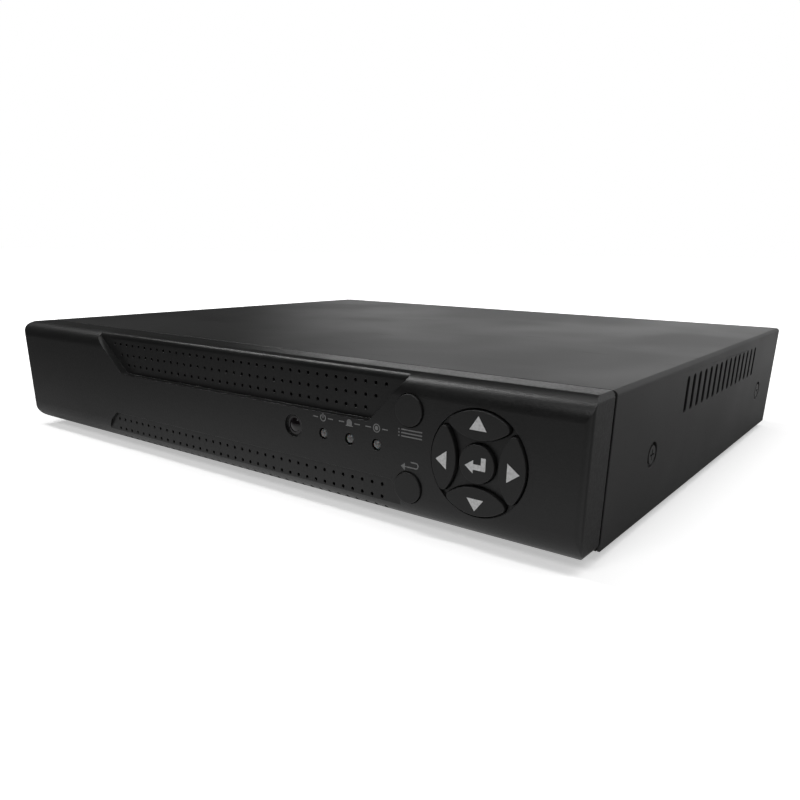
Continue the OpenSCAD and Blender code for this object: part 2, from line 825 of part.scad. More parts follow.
module coin_cell() {
    color([0.8, 0.8, 0.8]) placed()
        translate([cell_at[0], cell_at[1], board_top + 1.2]) cylinder(r = 10, h = 3.2);
}
module coin_cell_holder() {
    color([0.12, 0.12, 0.12]) placed() difference() {
        translate([cell_at[0], cell_at[1], board_top]) cylinder(r = 11.5, h = 4);
        translate([cell_at[0], cell_at[1], board_top + 1.2]) cylinder(r = 10.05, h = 4);
        box([cell_at[0] - 4, cell_at[0] + 4], [cell_at[1] - 13, cell_at[1]],
            [board_top + 1.2, board_top + 5]);
    }
}

module header(p, w, d, h, wall) {
    difference() {
        box([p[0], p[0] + w], [p[1], p[1] + d], [board_top, board_top + h]);
        box([p[0] + wall, p[0] + w - wall], [p[1] + wall, p[1] + d - wall],
            [board_top + 1.5, board_top + h + 1]);
    }
}
module board_headers() {
    color([0.85, 0.85, 0.8]) placed() {
        header(data_header, 14, 5.5, 8, 0.8);
        header(power_header, 12, 6, 9, 0.9);
        header(front_header, 21, 6, 7, 0.9);
        header(fan_header, 6, 8, 7, 0.8);
    }
}

// Video socket: a barrel with a centre hole, two side lugs and a hexagon collar
module video_sockets() {
    color([0.72, 0.72, 0.74]) placed() for (i = [0 : video_count - 1])
        translate([video_x0 + i * video_pitch, 0, video_z]) difference() {
            union() {
                bar_y(0, case_d - 6, 0, video_r, video_out + 6);
                translate([0, case_d, 0]) rotate([-90, 0, 0]) cylinder(r = 7.2, h = 2, $fn = 6);
                bar_x(-video_r - 0.9, case_d + video_out - 3.5, 0, 1, 2 * video_r + 1.8);
            }
            bar_y(0, case_d + video_out - 8, 0, video_r - 0.9, 9);
        }
    color([0.8, 0.7, 0.3]) placed() for (i = [0 : video_count - 1])
        translate([video_x0 + i * video_pitch, 0, video_z]) difference() {
            bar_y(0, case_d + video_out - 8, 0, 1.2, 6);
            bar_y(0, case_d + video_out - 6, 0, 0.5, 5);
        }
}
module video_socket_blocks() {
    color([0.1, 0.1, 0.1]) placed() for (i = [0 : video_count - 1])
        translate([video_x0 + i * video_pitch, 0, 0]) difference() {
            box([-7, 7], [rear_y - 18, rear_y - 0.2], [board_top, video_z + 7]);
            bar_y(0, case_d - 6, video_z, video_r, 10);
        }
}

// Two stacked audio sockets in one moulded block
module audio_sockets() {
    color([0.75, 0.75, 0.76]) placed() difference() {
        union() {
            box([audio_x - 5, audio_x + 5], [rear_y - 12, rear_y - 0.2],
                [board_top, audio_z + audio_pitch + 5]);
            for (i = [0 : 1]) {
                bar_y(audio_x, rear_y - 0.3, audio_z + i * audio_pitch, audio_r - 0.3, 3);
                bar_y(audio_x, case_d + audio_root, audio_z + i * audio_pitch, audio_r, audio_len);
            }
        }
        for (i = [0 : 1])
            bar_y(audio_x, rear_y - 4, audio_z + i * audio_pitch, 1.65, 14);
    }
}

// Fifteen-hole D-shaped port with two hexagon posts
module vga_port() {
    color([0.15, 0.3, 0.7]) placed() difference() {
        union() {
            box([vga_x - 15.4, vga_x + 15.4], [rear_y - 12, rear_y - 0.2],
                [board_top, board_top + 12.5]);
            along_y(rear_y - 0.3, 6) polygon([
                [vga_x - 8.2, vga_z + 3.9], [vga_x + 8.2, vga_z + 3.9],
                [vga_x + 6.9, vga_z - 3.9], [vga_x - 6.9, vga_z - 3.9]
            ]);
            for (s = [-1, 1])
                bar_y(vga_x + s * 12.5, rear_y - 0.3, vga_z, 2, 5.5);
        }
        for (row = [-1 : 1], i = [-2 : 2])
            bar_y(vga_x + i * 2.3 + row * 0.5, rear_y + 1, vga_z + row * 2, 0.5, 6);
        for (s = [-1, 1])
            bar_y(vga_x + s * 12.5, rear_y, vga_z, 1.3, 7);
    }
}

// Flat port with its tongue
module hdmi_port() {
    color([0.7, 0.7, 0.72]) placed() difference() {
        box([hdmi_x - 7.5, hdmi_x + 7.5], [rear_y - 12, case_d + 0.8], [hdmi_z - 2.8, hdmi_z + 2.8]);
        difference() {
            box([hdmi_x - 7, hdmi_x + 7], [rear_y - 8, case_d + 2], [hdmi_z - 2.3, hdmi_z + 2.3]);
            box([hdmi_x - 5.7, hdmi_x + 5.7], [rear_y - 9, case_d - 1], [hdmi_z - 0.7, hdmi_z + 0.5]);
        }
    }
}

// Network port: a shielded block with a stepped opening
module lan_port() {
    color([0.7, 0.7, 0.72]) placed() difference() {
        box([lan_x - 8, lan_x + 8], [rear_y - 20, case_d + 0.8], [board_top, board_top + 13.5]);
        box([lan_x - 5.9, lan_x + 5.9], [rear_y - 12, case_d + 2], [board_top + 3.6, board_top + 11.4]);
        box([lan_x - 3, lan_x + 3], [rear_y - 12, case_d + 2], [board_top + 1.8, board_top + 3.8]);
    }
}

// Two stacked ports, each with its tongue
module usb_ports() {
    color([0.72, 0.72, 0.74]) placed() difference() {
        box([usb_x - 7.2, usb_x + 7.2], [rear_y - 16, case_d + 0.8], [board_top, board_top + 15.7]);
        for (z = [board_top + 1, board_top + 9.3]) difference() {
            box([usb_x - 6.25, usb_x + 6.25], [rear_y - 9, case_d + 2], [z, z + 5.4]);
            box([usb_x - 5.5, usb_x + 5.5], [rear_y - 10, case_d - 1], [z + 3, z + 4.9]);
        }
    }
}

// Round low-voltage inlet with its centre pin
module power_jack() {
    color([0.1, 0.1, 0.1]) placed() difference() {
        union() {
            box([power_x - 4.5, power_x + 4.5], [rear_y - 13, rear_y - 0.2],
                [board_top, board_top + 11]);
            bar_y(power_x, rear_y - 0.3, power_z, 4, sheet_t + 1.3);
        }
        difference() {
            bar_y(power_x, rear_y - 8, power_z, 2.8, 14);
            bar_y(power_x, rear_y - 9, power_z, 1.05, 8.5);
        }
    }
}

// Drive: casting, pressed lid and its board underneath, sealed as one unit
module in_drive() {
    placed() translate([drive_x, drive_y, drive_z]) children();
}
module drive_casting() {
    color([0.5, 0.5, 0.52]) in_drive() difference() {
        box([0, drive_l], [0, drive_w], [drive_board_h + 0.3, drive_h - 1]);
        translate([62, drive_w / 2, 11]) cylinder(r = 47.6, h = drive_h, $fn = 96);
        box([90, drive_l - 6], [8, drive_w - 8], [11, drive_h]);
        for (x = [28.5, 70, 118.5], s = [0, 1])
            bar_y(x, s * drive_w - 4, 9, 1.6, 8);
        for (p = drive_holes)
            translate([p[0], p[1], 0]) cylinder(r = 1.6, h = 8);
        box([drive_l - 7.2, drive_l + 1], [11.8, 50.2], [0, drive_board_h + 6.3]);
    }
    color([0.5, 0.5, 0.52]) in_drive() for (p = drive_holes) difference() {
        translate([p[0], p[1], 0]) cylinder(r = 3, h = drive_board_h + 0.3);
        translate([p[0], p[1], -1]) cylinder(r = 1.6, h = 8);
    }
}
module drive_lid() {
    color([0.75, 0.75, 0.76]) in_drive() union() {
        box([3, drive_l - 3], [3, drive_w - 3], [drive_h - 1, drive_h - 0.5]);
        translate([60, drive_w / 2, drive_h - 0.5]) cylinder(r = 44, h = 0.5, $fn = 96);
        for (x = [8, drive_l - 8], y = [8, drive_w - 8])
            translate([x, y, drive_h - 0.5]) cylinder(r = 2.6, h = 0.5);
    }
}
module drive_board() {
    color([0.05, 0.2, 0.12]) in_drive() difference() {
        union() {
            box([52, drive_l - 1.5], [4, drive_w - 12], [drive_board_h - 1, drive_board_h + 0.3]);
            box([drive_l - 7, drive_l], [12, 50], [drive_board_h - 1, drive_board_h + 6]);
        }
        box([drive_l - 5, drive_l + 1], [14, 22], [drive_board_h + 1, drive_board_h + 4.5]);
        box([drive_l - 5, drive_l + 1], [26, 47], [drive_board_h + 1, drive_board_h + 4.5]);
        for (p = drive_holes)
            translate([p[0], p[1], 0]) cylinder(r = 4, h = 8);
    }
}
module drive_screws() {
    color([0.7, 0.7, 0.72]) placed() for (p = drive_holes)
        screw_z([drive_x + p[0], drive_y + p[1], 0], 1, 3, 1.6, 1.6, 6.5);
}

module fan_frame() {
    half = fan_size / 2;
    color([0.08, 0.08, 0.08]) placed() union() {
        difference() {
            box([fan_x - half, fan_x + half], [fan_front_y, fan_back_y], [fan_z - half, fan_z + half]);
            bar_y(fan_x, fan_front_y - 1, fan_z, fan_bore_r, fan_depth + 2);
            for (sx = [-1, 1], sz = [-1, 1])
                bar_y(fan_x + sx * 16, fan_front_y - 1, fan_z + sz * 16, 1.6, fan_depth + 2);
        }
        difference() {
            for (a = [0 : 120 : 240])
                translate([fan_x, fan_front_y, fan_z]) rotate([0, a + 30, 0])
                    translate([0, 0, -1]) cube([fan_bore_r + 0.5, 1.4, 2]);
            bar_y(fan_x, fan_front_y - 1, fan_z, 2, 4);
        }
        difference() {
            bar_y(fan_x, fan_front_y, fan_z, 9, 1.4);
            bar_y(fan_x, fan_front_y - 1, fan_z, 1.05, 4);
        }
        difference() {
            bar_y(fan_x, fan_front_y, fan_z, 2.4, 6);
            bar_y(fan_x, fan_front_y - 1, fan_z, 1.05, 8);
        }
    }
}
module fan_rotor() {
    hub_front = fan_front_y + 2;
    hub_back = fan_back_y - 0.6;
    color([0.1, 0.1, 0.1]) placed() union() {
        difference() {
            bar_y(fan_x, hub_front, fan_z, 9, hub_back - hub_front);
            bar_y(fan_x, hub_front - 1, fan_z, 7.8, hub_back - hub_front - 0.2);
        }
        bar_y(fan_x, fan_front_y + 0.4, fan_z, 1, hub_back - fan_front_y - 0.5);
        for (i = [0 : fan_blades - 1])
            translate([fan_x, 0, fan_z]) rotate([0, i * 360 / fan_blades, 0])
                translate([8.5, (hub_front + hub_back) / 2, 0]) rotate([35, 0, 0])
                    translate([0, -4.2, -0.4]) cube([fan_bore_r - rotor_gap - 8.9, 8.4, 0.8]);
    }
}
module fan_screws() {
    color([0.05, 0.05, 0.05]) placed() for (sx = [-1, 1], sz = [-1, 1])
        screw_y([fan_x + sx * 16, case_d, fan_z + sz * 16], -1, 2.8, 1.4, 1.6, 8);
}

// Wires held inside the case. A tube is swept along a route with rounded corners, and its
// rings keep their turn from one to the next.
function unit(v) = v / norm(v);
function tangent(p, i) = unit(p[min(i + 1, len(p) - 1)] - p[max(i - 1, 0)]);
function frames(p, i, u) = i >= len(p) ? [] :
    let (t = tangent(p, i), v = unit(u - (u * t) * t)) concat([v], frames(p, i + 1, v));
function ring(c, t, u, r, n) = let (v = cross(t, u))
    [for (k = [0 : n - 1]) c + r * (cos(k * 360 / n) * u + sin(k * 360 / n) * v)];
function bend(a, b, c, s) = (1 - s) * (1 - s) * a + 2 * s * (1 - s) * b + s * s * c;
// Rounds each inner corner of a route, starting the given distance before it
function corner_points(a, b, c, reach, steps) = let (
    p = b - unit(b - a) * min(reach, norm(b - a) * 0.48),
    q = b + unit(c - b) * min(reach, norm(c - b) * 0.48))
    [for (k = [0 : steps]) bend(p, b, q, k / steps)];
function smooth(p, reach, steps) = concat(
    [p[0]],
    [for (i = [1 : len(p) - 2]) each corner_points(p[i - 1], p[i], p[i + 1], reach, steps)],
    [p[len(p) - 1]]
);
module tube(route, r) {
    sides = 8;
    p = smooth(route, 7, 3);
    m = len(p);
    u = frames(p, 0, unit(cross(tangent(p, 0), [0, 0.1, 1])));
    points = [for (i = [0 : m - 1]) each ring(p[i], tangent(p, i), u[i], r, sides)];
    walls = [for (i = [0 : m - 2], k = [0 : sides - 1]) let (j = (k + 1) % sides)
        [i * sides + k, (i + 1) * sides + k, (i + 1) * sides + j, i * sides + j]];
    low = [for (k = [0 : sides - 1]) k];
    high = [for (k = [sides - 1 : -1 : 0]) (m - 1) * sides + k];
    polyhedron(points, concat([low], walls, [high]));
}

// Data cable: a flat run of wires from the drive up, across and down into its header
module drive_data_cable() {
    x0 = drive_x + drive_l;
    yc = drive_y + 18;
    zc = drive_z + drive_board_h + 2.8;
    xh = data_header[0] + 7;
    yh = data_header[1] + 2.75;
    color([0.7, 0.08, 0.08]) placed() {
        box([x0 + 0.2, x0 + 12], [yc - 4, yc + 4], [zc - 1.5, zc + 5]);
        box([xh - 6, xh + 6], [yh - 1.8, yh + 1.8], [board_top + 1.7, board_top + 14]);
        for (k = [-2 : 2])
            tube([[x0 + 11.5, yc + k * 1.4, zc + 2], [x0 + 20 - k * 1.4, yc + k * 1.4, zc + 2],
                  [x0 + 20 - k * 1.4, yc + 40, 32], [xh - k * 1.4, yc + 60, 38],
                  [xh - k * 1.4, yh, 38], [xh - k * 1.4, yh, board_top + 13.5]], 0.6);
    }
}

// Power cable: four wires from the drive to the power header
module drive_power_cable() {
    x0 = drive_x + drive_l;
    yc = drive_y + 36.5;
    zc = drive_z + drive_board_h + 2.8;
    xh = power_header[0] + 6;
    yh = power_header[1] + 3;
    color([0.1, 0.1, 0.1]) placed() {
        box([x0 + 0.2, x0 + 10], [yc - 10, yc + 10], [zc - 1.5, zc + 5]);
        box([xh - 4.9, xh + 4.9], [yh - 1.9, yh + 1.9], [board_top + 1.7, board_top + 12]);
        for (k = [-1.5 : 1.5])
            tube([[x0 + 9.5, yc + k * 2.2, zc + 2], [xh - k * 2.2, yc + k * 2.2, zc + 2],
                  [xh - k * 2.2, yc + 30, zc + 2], [xh - k * 2.2, yh - 16, 28],
                  [xh - k * 2.2, yh, 28], [xh - k * 2.2, yh, board_top + 11.5]], 0.8);
    }
}

// Front cable: a flat bundle from the key board through the front wall to its header
module front_cable() {
    xk = 70;
    zk = 39;
    y_plug = key_board_y + pcb_t;
    xh = front_header[0] + 10.5;
    yh = front_header[1] + 3;
    color([0.8, 0.8, 0.78]) placed() {
        box([xk - 9, xk + 9], [y_plug, y_plug + 3], [zk - 2.2, zk + 2.2]);
        box([xh - 9, xh + 9], [yh - 1.9, yh + 1.9], [board_top + 1.7, board_top + 9]);
        for (k = [-2.5 : 2.5])
            tube([[xk + k * 2, y_plug + 2.5, zk], [xk + k * 2, 22, zk], [xh + k * 2, 60, 14],
                  [xh + k * 2, 104, 30], [xh + k * 2, yh, 30],
                  [xh + k * 2, yh, board_top + 8.5]], 0.7);
    }
}

// Fan lead: two wires from the frame to the fan header
module fan_cable() {
    xh = fan_header[0] + 3;
    yh = fan_header[1] + 4;
    x_start = fan_x + fan_size / 2;
    y_start = fan_front_y + 3;
    color([0.75, 0.1, 0.1]) placed() {
        box([xh - 2, xh + 2], [yh - 3, yh + 3], [board_top + 1.7, board_top + 9]);
        for (k = [-0.5, 0.5])
            tube([[x_start, y_start, 12 + k * 2], [x_start + 10, y_start, 12 + k * 2],
                  [-58, yh + 20, 12 + k * 2], [-58, yh + k * 2, 24], [xh, yh + k * 2, 24],
                  [xh, yh + k * 2, board_top + 8.5]], 0.65);
    }
}

front_bezel();
ir_window();
power_led();
alarm_led();
record_led();
up_button();
down_button();
left_button();
right_button();
enter_button();
menu_button();
esc_button();
up_plunger();
down_plunger();
left_plunger();
right_plunger();
enter_plunger();
menu_plunger();
esc_plunger();
key_board();
key_switches();
ir_receiver();
key_board_screws();
bezel_screws();
base_tray();
top_cover();
cover_side_screws();
cover_rear_screws();
rubber_feet();
main_board();
board_standoffs();
board_screws();
main_processor();
heat_sink();
memory_chips();
video_chips();
capacitors();
coin_cell();
coin_cell_holder();
board_headers();
video_sockets();
video_socket_blocks();
audio_sockets();
vga_port();
hdmi_port();
lan_port();
usb_ports();
power_jack();
drive_casting();
drive_lid();
drive_board();
drive_screws();
drive_data_cable();
drive_power_cable();
front_cable();
fan_cable();
fan_frame();
fan_rotor();
fan_screws();
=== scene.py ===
"""The looks of a digital video recorder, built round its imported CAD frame.

The frame's nodes keep their shape and place. Here they get rounded edges, procedural finishes
and printed marks, and stand on a pale floor in soft studio light. Lengths are in metres. Names
that end in _mm or _MM and the outlines of the printed marks are in millimetres.
"""

import math

import bmesh
import bpy
from mathutils import Matrix, Vector


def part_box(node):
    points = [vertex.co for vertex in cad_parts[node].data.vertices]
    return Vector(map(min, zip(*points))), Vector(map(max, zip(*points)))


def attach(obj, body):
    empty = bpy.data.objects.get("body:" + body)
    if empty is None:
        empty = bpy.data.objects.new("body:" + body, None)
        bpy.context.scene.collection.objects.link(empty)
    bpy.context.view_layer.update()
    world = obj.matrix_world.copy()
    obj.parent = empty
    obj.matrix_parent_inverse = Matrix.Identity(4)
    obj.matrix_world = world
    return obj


MM = 0.001
SOFT_EDGE = 0.12 * MM

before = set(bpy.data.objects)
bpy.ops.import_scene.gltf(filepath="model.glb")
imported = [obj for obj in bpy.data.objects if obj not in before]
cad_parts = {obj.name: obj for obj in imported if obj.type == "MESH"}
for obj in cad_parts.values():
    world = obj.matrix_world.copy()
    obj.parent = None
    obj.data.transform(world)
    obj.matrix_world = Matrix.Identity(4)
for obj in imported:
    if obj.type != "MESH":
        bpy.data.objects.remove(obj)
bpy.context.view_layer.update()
scene = bpy.context.scene
scene.view_settings.view_transform = "Standard"


# ---------------------------------------------------------------- camera

CAMERA_PLACE = (0.21933, -0.30694, 0.08861)
CAMERA_TURN = (36.62, 19.42, 0.79)  # azimuth, elevation and roll in degrees


def make_camera():
    """The camera stands low at the front right corner and looks across the case."""
    azimuth, elevation, roll = (math.radians(a) for a in CAMERA_TURN)
    forward = Vector((
        -math.sin(azimuth) * math.cos(elevation),
        math.cos(azimuth) * math.cos(elevation),
        -math.sin(elevation),
    ))
    level = Vector((math.cos(azimuth), math.sin(azimuth), 0))
    above = level.cross(forward)
    right = level * math.cos(roll) + above * math.sin(roll)
    up = above * math.cos(roll) - level * math.sin(roll)
    data = bpy.data.cameras.new("camera")
    data.sensor_width = 36
    data.lens = 32
    data.shift_y = 0.125
    data.clip_start = 0.01
    camera = bpy.data.objects.new("camera", data)
    camera.matrix_world = Matrix.Translation(CAMERA_PLACE) @ (
        Matrix((right, up, -forward)).transposed().to_4x4()
    )
    scene.collection.objects.link(camera)
    scene.camera = camera


# ---------------------------------------------------------------- node graphs

class Graph:
    """A node tree, with one short call for each kind of node that the finishes use."""

    def __init__(self, tree):
        self.tree = tree
        self.tree.nodes.clear()
        self.place = None
        self.soft_edge = SOFT_EDGE

    def add(self, kind, **settings):
        node = self.tree.nodes.new(kind)
        for name, value in settings.items():
            setattr(node, name, value)
        return node

    def put(self, value, socket):
        """Links an output to a socket, or sets a plain value on it."""
        if isinstance(value, bpy.types.NodeSocket):
            self.tree.links.new(value, socket)
        else:
            socket.default_value = value

    def points(self):
        if self.place is None:
            self.place = self.add("ShaderNodeTexCoord").outputs["Object"]
        return self.place

    def stretched(self, scale):
        """The object's own points, stretched by a factor along each axis."""
        node = self.add("ShaderNodeMapping")
        self.put(self.points(), node.inputs["Vector"])
        node.inputs["Scale"].default_value = scale
        return node.outputs["Vector"]

    def noise(self, size, detail=3.0, roughness=0.55, at=None, distortion=0.0):
        """Soft noise whose features are about size metres across."""
        node = self.add("ShaderNodeTexNoise")
        self.put(at or self.points(), node.inputs["Vector"])
        node.inputs["Scale"].default_value = 1 / size
        node.inputs["Detail"].default_value = detail
        node.inputs["Roughness"].default_value = roughness
        node.inputs["Distortion"].default_value = distortion
        return node.outputs["Fac"]

    def cells(self, size, feature="F1", at=None):
        node = self.add("ShaderNodeTexVoronoi", feature=feature)
        self.put(at or self.points(), node.inputs["Vector"])
        node.inputs["Scale"].default_value = 1 / size
        return node.outputs["Distance"]

    def span(self, value, low, high, to_low=0.0, to_high=1.0):
        """value from low to high, mapped smoothly on to to_low to to_high."""
        node = self.add("ShaderNodeMapRange", interpolation_type="SMOOTHSTEP")
        self.put(value, node.inputs["Value"])
        ends = {"From Min": low, "From Max": high, "To Min": to_low, "To Max": to_high}
        for name, number in ends.items():
            node.inputs[name].default_value = number
        return node.outputs["Result"]

    def math(self, operation, a, b=0.0):
        node = self.add("ShaderNodeMath", operation=operation)
        self.put(a, node.inputs[0])
        self.put(b, node.inputs[1])
        return node.outputs["Value"]

    def mix(self, factor, a, b):
        """Colour a where factor is 0 and colour b where it is 1."""
        node = self.add("ShaderNodeMix", data_type="RGBA")
        self.put(factor, node.inputs["Factor"])
        for value, socket in ((a, node.inputs["A"]), (b, node.inputs["B"])):
            self.put(value, self.colour_socket(node, socket))
        return self.colour_socket(node, node.outputs["Result"], node.outputs)

    @staticmethod
    def colour_socket(node, socket, group=None):
        """Mix has one socket of each name for each data type; this is the colour one."""
        return next(s for s in group or node.inputs if s.name == socket.name and s.type == "RGBA")

    def bump(self, height, depth, below=None):
        """A surface that rises by depth metres as height goes from 0 to 1."""
        node = self.add("ShaderNodeBump")
        node.inputs["Strength"].default_value = 1.0
        node.inputs["Distance"].default_value = depth
        self.put(height, node.inputs["Height"])
        self.put(self.rounded(self.soft_edge) if below is None else below, node.inputs["Normal"])
        return node.outputs["Normal"]

    def rounded(self, radius, samples=4):
        """The surface's normal, turned near sharp edges as a rounding of this radius would turn it."""
        node = self.add("ShaderNodeBevel", samples=samples)
        node.inputs["Radius"].default_value = radius
        return node.outputs["Normal"]

    def edges(self, radius):
        """1 along sharp edges and 0 on flats, from how far a rounded normal turns from the true one."""
        true_normal = self.add("ShaderNodeNewGeometry").outputs["Normal"]
        dot = self.add("ShaderNodeVectorMath", operation="DOT_PRODUCT")
        self.put(self.rounded(radius), dot.inputs[0])
        self.put(true_normal, dot.inputs[1])
        return self.span(dot.outputs["Value"], 0.99, 0.85)


def grey(level, tint=(1, 1, 1)):
    return (level * tint[0], level * tint[1], level * tint[2], 1)


def finish(graph, colour, roughness, normal, metallic=0.0, specular=0.5, **more):
    """Ends a graph in one Principled shader. colour, roughness and normal are outputs."""
    shader = graph.add("ShaderNodeBsdfPrincipled")
    graph.put(colour, shader.inputs["Base Color"])
    graph.put(roughness, shader.inputs["Roughness"])
    shader.inputs["Metallic"].default_value = metallic
    shader.inputs["Specular IOR Level"].default_value = specular
    for socket, value in more.items():
        shader.inputs[socket.replace("_", " ").title()].default_value = value
    graph.put(normal, shader.inputs["Normal"])
    output = graph.add("ShaderNodeOutputMaterial")
    graph.put(shader.outputs["BSDF"], output.inputs["Surface"])


def new_material(name):
    material = bpy.data.materials.new(name)
    material.use_nodes = True
    return material, Graph(material.node_tree)


# ---------------------------------------------------------------- finishes

def moulded(name, level, roughness=0.5, grain=0.45 * MM, depth=0.012 * MM, specular=0.35,
            tint=(1, 1, 1), soft_edge=SOFT_EDGE, edge_wear_and_highlight_level=0.0):
    """Moulded plastic: a spark-eroded grain, faint flow shades, and edges a little lighter, partly worn
    by rubbing and partly a painted highlight where ledges and hole rims catch the light.
    """
    material, g = new_material(name)
    g.soft_edge = soft_edge
    grain_height = g.noise(grain, detail=2.0, roughness=0.6)
    flow = g.noise(38 * MM, detail=2.0, distortion=0.4)
    patches = g.span(g.noise(6 * MM), 0.35, 0.7, 0.25, 1.0)
    # Lighter edges: wear from rubbing, and a painted highlight on ledges and hole rims.
    edge_wear_and_highlight = g.math("MULTIPLY", g.edges(0.35 * MM), patches)
    body = g.mix(g.span(flow, 0.3, 0.7), grey(level * 0.88, tint), grey(level * 1.12, tint))
    colour = g.mix(edge_wear_and_highlight, body, grey(max(edge_wear_and_highlight_level, level * 2.2 + 0.004), tint))
    shine = g.math("ADD", g.span(flow, 0.3, 0.7, roughness - 0.03, roughness + 0.04),
                   g.span(grain_height, 0.3, 0.7, -0.04, 0.04))
    finish(g, colour, shine, g.bump(grain_height, depth), specular=specular)
    return material


def painted(name, level, roughness=0.42):
    """Satin powder coat on sheet steel: slight orange-peel, fine scuffs, paint thin on the edges."""
    material, g = new_material(name)
    peel = g.noise(1.6 * MM, detail=2.0)
    fine = g.noise(0.35 * MM, detail=1.0)
    cloud = g.noise(70 * MM, detail=2.0, distortion=0.3)
    streaks = g.noise(5 * MM, detail=5.0, at=g.stretched((0.25, 1.6, 1.6)), distortion=0.6)
    scuff = g.span(streaks, 0.62, 0.78)
    edge = g.math("MULTIPLY", g.edges(0.3 * MM), g.span(g.noise(9 * MM, detail=4.0), 0.5, 0.68))
    base = g.mix(g.span(cloud, 0.3, 0.7), grey(level * 0.92), grey(level * 1.08))
    scuffed = g.mix(g.math("MULTIPLY", scuff, 0.35), base, grey(level * 1.7))
    colour = g.mix(edge, scuffed, grey(level * 3.2))
    shine = g.math("ADD", g.span(cloud, 0.3, 0.7, roughness - 0.03, roughness + 0.03),
                   g.math("MULTIPLY", scuff, 0.06))
    normal = g.bump(peel, 0.006 * MM, g.bump(fine, 0.0025 * MM))
    finish(g, colour, shine, normal, specular=0.45)
    return material


def metal(name, level, roughness=0.32, tint=(1, 1, 1), brushed=None):
    """Plated or turned metal: tarnish in patches, and fine lines along one axis if it is brushed."""
    material, g = new_material(name)
    tarnish = g.span(g.noise(4 * MM, detail=4.0), 0.4, 0.72)
    lines = g.noise(0.3 * MM, detail=2.0, at=g.stretched(brushed) if brushed else None)
    colour = g.mix(tarnish, grey(level, tint), grey(level * 0.72, tint))
    shine = g.math("ADD", g.span(lines, 0.3, 0.7, roughness - 0.07, roughness + 0.07),
                   g.math("MULTIPLY", tarnish, 0.1))
    finish(g, colour, shine, g.bump(lines, 0.004 * MM), metallic=1.0)
    return material


def rubber(name, level):
    """Soft foot rubber, dusty and dull, with fine pores."""
    material, g = new_material(name)
    pores = g.noise(0.5 * MM, detail=3.0)
    dust = g.span(g.noise(5 * MM, detail=4.0), 0.45, 0.75)
    colour = g.mix(dust, grey(level), grey(level * 2.1, (1.0, 0.98, 0.95)))
    finish(g, colour, g.span(dust, 0, 1, 0.78, 0.92), g.bump(pores, 0.02 * MM), specular=0.25)
    return material


def circuit_board(name):
    """Solder mask over glass weave, with a faint net of copper tracks under it."""
    material, g = new_material(name)
    tracks = g.cells(5 * MM, feature="DISTANCE_TO_EDGE", at=g.stretched((1.0, 0.45, 1.0)))
    copper = g.span(tracks, 0.05, 0.035)
    weave = g.noise(0.6 * MM, detail=1.0, at=g.stretched((1, 3, 1)))
    mask = g.mix(g.noise(30 * MM), (0.006, 0.045, 0.022, 1), (0.009, 0.065, 0.03, 1))
    colour = g.mix(copper, mask, (0.02, 0.13, 0.055, 1))
    normal = g.bump(copper, 0.02 * MM, g.bump(weave, 0.004 * MM))
    finish(g, colour, g.span(weave, 0.3, 0.7, 0.26, 0.38), normal, coat_weight=0.3)
    return material


def lamp(name):
    """The cloudy domed tip of a lamp that isn't lit."""
    material, g = new_material(name)
    cloud = g.noise(0.7 * MM, detail=3.0)
    colour = g.mix(g.span(cloud, 0.35, 0.65), grey(0.1), grey(0.165))
    finish(g, colour, g.span(cloud, 0.3, 0.7, 0.2, 0.34), g.bump(cloud, 0.01 * MM),
           subsurface_weight=0.25, subsurface_scale=0.0008)
    return material


def smoked(name):
    """Dark infrared-passing plastic, polished, with a few fine hairline marks."""
    material, g = new_material(name)
    hair = g.noise(1.2 * MM, detail=6.0, at=g.stretched((1, 1, 5)), distortion=1.2)
    colour = g.mix(g.noise(3 * MM), (0.004, 0.003, 0.004, 1), (0.008, 0.005, 0.006, 1))
    finish(g, colour, g.span(hair, 0.55, 0.75, 0.07, 0.22), g.bump(hair, 0.002 * MM))
    return material


def printed(name, level, tint=(1, 1, 1)):
    """Screen-printed ink: nearly even, thinner in places, a little matt."""
    material, g = new_material(name)
    wear = g.span(g.noise(0.8 * MM, detail=4.0), 0.3, 0.75)
    colour = g.mix(wear, grey(level, tint), grey(level * 0.78, tint))
    finish(g, colour, g.span(wear, 0, 1, 0.5, 0.62), g.bump(wear, 0.004 * MM), specular=0.3)
    return material


def sleeve(name, level, tint):
    """A cable's soft sleeve, with handling marks along it."""
    material, g = new_material(name)
    marks = g.noise(3 * MM, detail=4.0)
    colour = g.mix(g.span(marks, 0.3, 0.7), grey(level, tint), grey(level * 1.3, tint))
    finish(g, colour, g.span(marks, 0.3, 0.7, 0.42, 0.55), g.bump(marks, 0.01 * MM))
    return material


